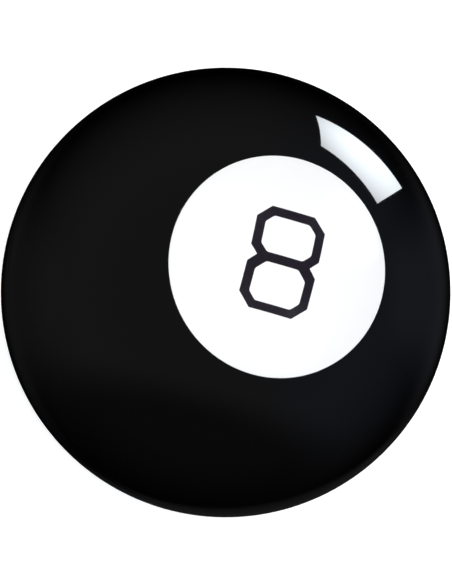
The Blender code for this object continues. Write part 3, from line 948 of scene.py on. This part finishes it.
ring_mark = upright("ring_mark", [circle(radius=4.2 * MM), circle(radius=3.1 * MM)])
cross_mark = upright("cross_mark", [cross(reach=4.4 * MM, wide=1.3 * MM)])
bars_mark = upright("bars_mark", [
    bar(wide=1.3 * MM, high=6.4 * MM, at=-2.4 * MM),
    bar(wide=1.3 * MM, high=6.4 * MM, at=2.4 * MM),
])
hole_tool = upright("hole_tool", [circle(FLOOD_HOLE, sides=24)])
for point in hole_tool.data.vertices:
    point.co.z *= HOLE_TOOL_STRETCH

satin_white = die_plastic()
for node, name, side in (("die_half_a", "die_upper_cup", 1), ("die_half_b", "die_lower_cup", -1)):
    half = die_cup(name, side, satin_white)
    crosses, bars = ((1,), (3,)) if side > 0 else ((3,), (1,))
    for shape, chosen in ((ring_mark, (0, 2)), (cross_mark, crosses), (bars_mark, bars)):
        raised = marks("raised_marks", shape, face_places(side, chosen), satin_white)
        combine(half, raised, "UNION")
    holes = marks("flood_holes", hole_tool, face_places(side, range(MARKS_TURN)), satin_white)
    combine(half, holes, "DIFFERENCE")
    keep(move(half, DIE_CENTRE), DIE, node)
for helper in (ring_mark, cross_mark, bars_mark, hole_tool):
    bpy.data.objects.remove(helper)

# ---------------------------------------------------------------------------------------------------
# The liquid. Deep blue dyed spirit, which fills the cup and the funnel up to a bubble under the cap,
# and lies round the die.

LIQUID_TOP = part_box("dyed_liquid")[1].z
FILM = 0.1 * MM
CLIMB = 0.6 * MM


def blue_dye():
    """Clear spirit with a strong blue dye, a little uneven where it settles."""
    finish = Finish("blue_dye", {"IOR": 1.36, "Metallic": 0.0, "Transmission Weight": 1.0})
    settled = finish.noise(size=15 * MM, detail=2.0)
    finish.wire(finish.shader, {
        "Base Color": finish.blend(settled, (0.010, 0.022, 0.20, 1.0), (0.016, 0.035, 0.30, 1.0)),
        "Roughness": 0.01 + settled * 0.02,
    })
    return finish.material


dye = blue_dye()
inside, outside = -FILM, FUNNEL_WALL + FILM
skirt_in, skirt_out = FUNNEL_RADIUS - FILM, FUNNEL_RADIUS + outside
throat_in, throat_out = THROAT - FILM, THROAT + outside
wet_edge, still_top = BORE - FILM, LIQUID_TOP - 1.5 * CLIMB
liquid = turned("dyed_spirit", [
    (0.0, FLANGE_FOOT),
    (skirt_in, FLANGE_FOOT),
    (skirt_in, cone_height(skirt_in, inside)),
    (throat_in, cone_height(throat_in, inside)),
    (throat_in, NECK_TOP + FILM),
    (throat_out, NECK_TOP + FILM),
    (throat_out, cone_height(throat_out, outside)),
    (skirt_out, cone_height(skirt_out, outside)),
    (skirt_out, FLANGE_TOP + FILM),
    (wet_edge, FLANGE_TOP + FILM),
    (wet_edge, LIQUID_TOP),
    (wet_edge - CLIMB, LIQUID_TOP - CLIMB),
    (wet_edge - 3 * CLIMB, still_top),
    (0.0, still_top),
], dye)
space, turn = icosahedron(DIE_CORNER_RADIUS * (1 + DIE_CLEARANCE / DIE_FACE_RADIUS))
bmesh.ops.rotate(space, verts=space.verts, matrix=turn)
combine(liquid, settle(move(new_piece("die_space", space), DIE_CENTRE)), "DIFFERENCE")
keep(liquid, BALL, "dyed_liquid")

# ---------------------------------------------------------------------------------------------------
# The stage. A plain pale floor and backdrop, a camera with a long lens, and soft studio light: a wide
# wash from above, two large softboxes, four small strips that show in the gloss, and one card.

FLOOR_HALF = 8.0
TARGET = Vector((0.0, 0.0, CENTRE_Z))
WHITE = (1.0, 1.0, 1.0, 1.0)


def stage_floor():
    mesh = bmesh.new()
    bmesh.ops.create_grid(mesh, x_segments=1, y_segments=1, size=FLOOR_HALF)
    floor = new_piece("floor", mesh)
    floor.visible_glossy = False
    pale = Finish("pale_floor", {
        "Roughness": 0.9, "IOR": 1.3, "Emission Color": WHITE, "Emission Strength": 0.45,
    })
    patches = pale.noise(size=0.2, detail=3.0)
    pale.wire(pale.shader, {
        "Base Color": pale.blend(patches, (0.93, 0.93, 0.93, 1.0), (0.95, 0.95, 0.95, 1.0)),
    })
    floor.data.materials.append(pale.material)


# The camera looks down on the disc from near the ball's axis, far away with a long lens. Its tilt and
# its turn about its own axis set where the disc sits and how the figure leans.
VIEW_TILT = math.radians(16.78)
DISC_BEARING = math.radians(26.6)
FIGURE_LEAN = math.radians(13.6)
VIEW_DISTANCE = 50 * BALL_RADIUS
LENS = 693.2
SHIFT_X = 0.0006
SHIFT_Y = 0.0008


def studio_camera():
    """Places the camera, and gives its right, up and back directions."""
    disc_axis = Vector((
        math.sin(VIEW_TILT) * math.cos(DISC_BEARING),
        math.sin(VIEW_TILT) * math.sin(DISC_BEARING),
        math.cos(VIEW_TILT),
    ))
    figure_up = Vector((math.sin(FIGURE_LEAN), math.cos(FIGURE_LEAN), 0.0))
    figure_up.z = -figure_up.dot(disc_axis) / disc_axis.z
    figure_up.normalize()
    turn = Matrix((figure_up.cross(disc_axis), figure_up, disc_axis))
    camera = bpy.data.objects.new("camera", bpy.data.cameras.new("camera"))
    camera.data.lens = LENS
    camera.data.shift_x = SHIFT_X
    camera.data.shift_y = SHIFT_Y
    camera.data.clip_end = 100.0
    back = Matrix.Translation((0.0, 0.0, VIEW_DISTANCE))
    camera.matrix_world = Matrix.Translation(TARGET) @ turn.to_4x4() @ back
    bpy.context.scene.collection.objects.link(camera)
    bpy.context.scene.camera = camera
    return turn.col[0].copy(), turn.col[1].copy(), turn.col[2].copy()


def studio_air(right, up, back):
    """A dim room on a white backdrop: a wide glow overhead, a flag at its near side, a strip of light
    round the horizon of the view, and a little bounce from below."""
    world = bpy.data.worlds.new("studio_air")
    bpy.context.scene.world = world
    world.use_nodes = True
    nodes = Nodes(world.node_tree)
    direction = nodes.add("ShaderNodeTexCoord")["Generated"]

    def towards(way):
        return nodes.add(
            "ShaderNodeVectorMath", {"operation": "DOT_PRODUCT"}, {0: direction, 1: way.normalized()}
        )["Value"]

    aside, over, facing = towards(right), towards(up), towards(back)
    near_side = towards(-0.25 * right - 0.94 * up - 0.21 * back)
    from_below = towards(0.06 * right - 0.34 * up - 0.94 * back)
    glow = nodes.ramp(facing, low=-0.93, high=0.31, to_high=0.158)
    flag = 1 - nodes.ramp(near_side, low=0.55, high=0.85, to_high=0.62)
    level = nodes.ramp(abs(over), low=0.40, high=0.10)
    reach = nodes.ramp(facing, low=0.1, high=-0.3) * nodes.ramp(facing, low=-1.0, high=-0.8)
    strip = level * reach * (0.036 + 0.018 * aside)
    bounce = nodes.ramp(from_below, low=0.95, high=0.99, to_high=0.018)
    backdrop = nodes.add("ShaderNodeLightPath")["Is Camera Ray"]
    strength = (glow * flag + strip + bounce) * (1 - backdrop) + backdrop
    cool_side = nodes.ramp(aside, low=0.1, high=0.8) * (1 - backdrop)
    tint = nodes.blend(cool_side, WHITE, (0.93, 1.0, 1.28, 1.0))
    nodes.wire(nodes.tree.nodes["Background"], {"Color": tint, "Strength": strength})


def light_panel(name, width, height, radiance, shows="gloss", spot=(0.5, 0.5), loss=(0, 0)):
    """A rectangular light. It is brightest at a spot, and loses a share of that towards its edges. It
    either shows in the gloss or lights the matt side."""
    data = bpy.data.lights.new(name, "AREA")
    data.shape = "RECTANGLE"
    data.size, data.size_y = width, height
    data.energy = math.pi * width * height
    data.use_nodes = True
    nodes = Nodes(data.node_tree)
    place = nodes.add("ShaderNodeNewGeometry")["Parametric"]
    sides = nodes.add("ShaderNodeSeparateXYZ", {}, {"Vector": place})
    brightness = radiance
    for side, peak, share in zip((sides["X"], sides["Y"]), spot, loss):
        off = (side - peak) / max(peak, 1 - peak)
        brightness = brightness * (1 - share * off * off)
    nodes.wire(nodes.tree.nodes["Emission"], {"Color": PANEL_TINT, "Strength": brightness})
    light = bpy.data.objects.new(name, data)
    light.visible_camera = False
    light.visible_glossy = shows == "gloss"
    light.visible_diffuse = shows == "matt"
    bpy.context.scene.collection.objects.link(light)
    return light


def hang_softbox(light, azimuth, elevation):
    """Hangs a light at a compass angle and a height angle, in degrees, facing the ball."""
    around, rise = math.radians(azimuth), math.radians(elevation)
    level = math.cos(rise)
    way = Vector((math.cos(around) * level, math.sin(around) * level, math.sin(rise)))
    light.location = TARGET + way * SOFTBOX_DISTANCE
    light.rotation_euler = way.to_track_quat("Z", "Y").to_euler()


def ceiling_wash():
    """An even wash from a wide ceiling, too soft to show in the gloss."""
    data = bpy.data.lights.new("ceiling_wash", "SUN")
    data.angle = math.radians(100)
    data.energy = 2.2
    light = bpy.data.objects.new("ceiling_wash", data)
    light.visible_glossy = False
    light.visible_camera = False
    bpy.context.scene.collection.objects.link(light)


stage_floor()
studio_air(*studio_camera())
ceiling_wash()

PANEL_TINT = (0.94, 1.0, 1.045, 1.0)
SOFTBOX_DISTANCE = 0.9
hang_softbox(light_panel("key_softbox", 0.5, 0.5, radiance=3.2, shows="matt"), azimuth=222, elevation=60)
hang_softbox(light_panel("fill_softbox", 0.5, 0.5, radiance=1.6, shows="matt"), azimuth=42, elevation=50)
for azimuth, elevation in ((222, 62), (130, 52), (42, 29), (-46, 52)):
    strip = light_panel("strip_softbox", 0.38, 0.2, radiance=15.0, loss=(0.3, 0.3))
    hang_softbox(strip, azimuth, elevation)

# A small card close to the ball's shoulder shows as a curved window of light beside the disc.
card = light_panel(
    "edge_card", 72.8 * MM, 52.7 * MM, radiance=13.8, spot=(0.48, 0.62), loss=(0.27, 0.36),
)
card_across, card_up = Vector((-0.652, 0.757, -0.037)), Vector((0.227, 0.241, 0.944))
card_turn = Matrix((card_across, card_up, card_across.cross(card_up))).transposed()
card.location = Vector((62.3, 114.8, 68.6)) * MM
card.rotation_euler = card_turn.to_euler()

bpy.context.scene.view_settings.view_transform = "Standard"
